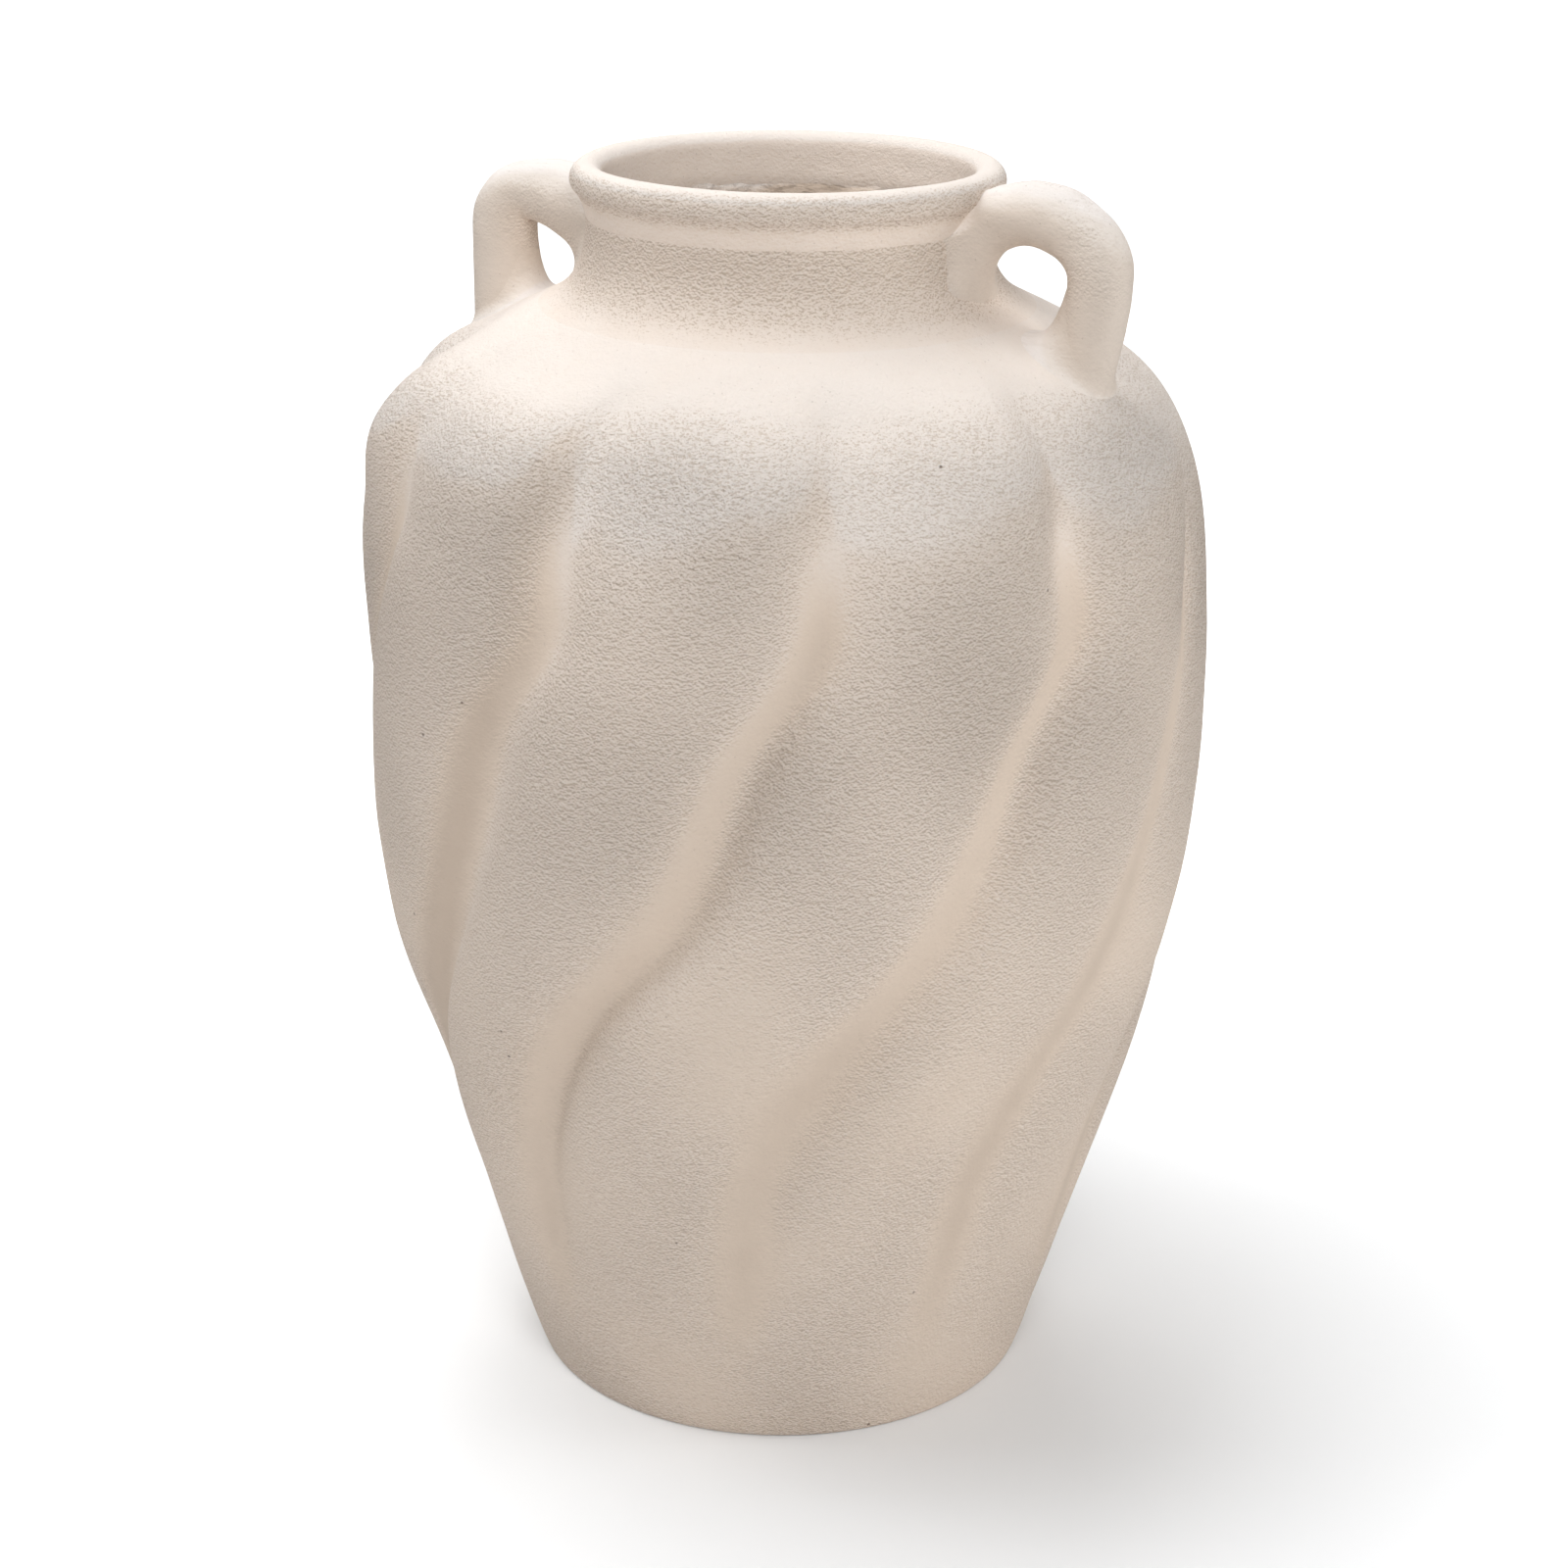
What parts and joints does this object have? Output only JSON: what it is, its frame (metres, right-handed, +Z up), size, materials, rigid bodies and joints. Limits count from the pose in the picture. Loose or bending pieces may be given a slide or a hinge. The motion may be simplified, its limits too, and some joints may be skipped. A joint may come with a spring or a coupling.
{
  "type": "urn vase",
  "caption": "Large matte ceramic urn vase with twisted lobes, a short neck, a rolled rim and loop handles at the shoulder.",
  "frame": {"origin": "centre of the vase's foot, on the surface it stands on", "axes": "+Z up along the vase's axis, +X towards the right handle, the other handle on -X"},
  "size_m": [0.338, 0.34, 0.4999],
  "materials": {
    "sandy_clay": "matte, unglazed, sandy off-white wash",
    "smoothed_clay": "matte, hand-smoothed off-white wash",
    "inner_clay": "matte, raw and wiped by hand"
  },
  "bodies": {
    "root": {"base_slab": "inner_clay", "body_shell": "sandy_clay", "neck_collar": "sandy_clay", "rim_roll": "sandy_clay", "neck_luting_coil": "inner_clay", "handle_right": "smoothed_clay", "handle_wad_right": "smoothed_clay", "handle_left": "smoothed_clay", "handle_wad_left": "smoothed_clay"}
  },
  "joints": []
}
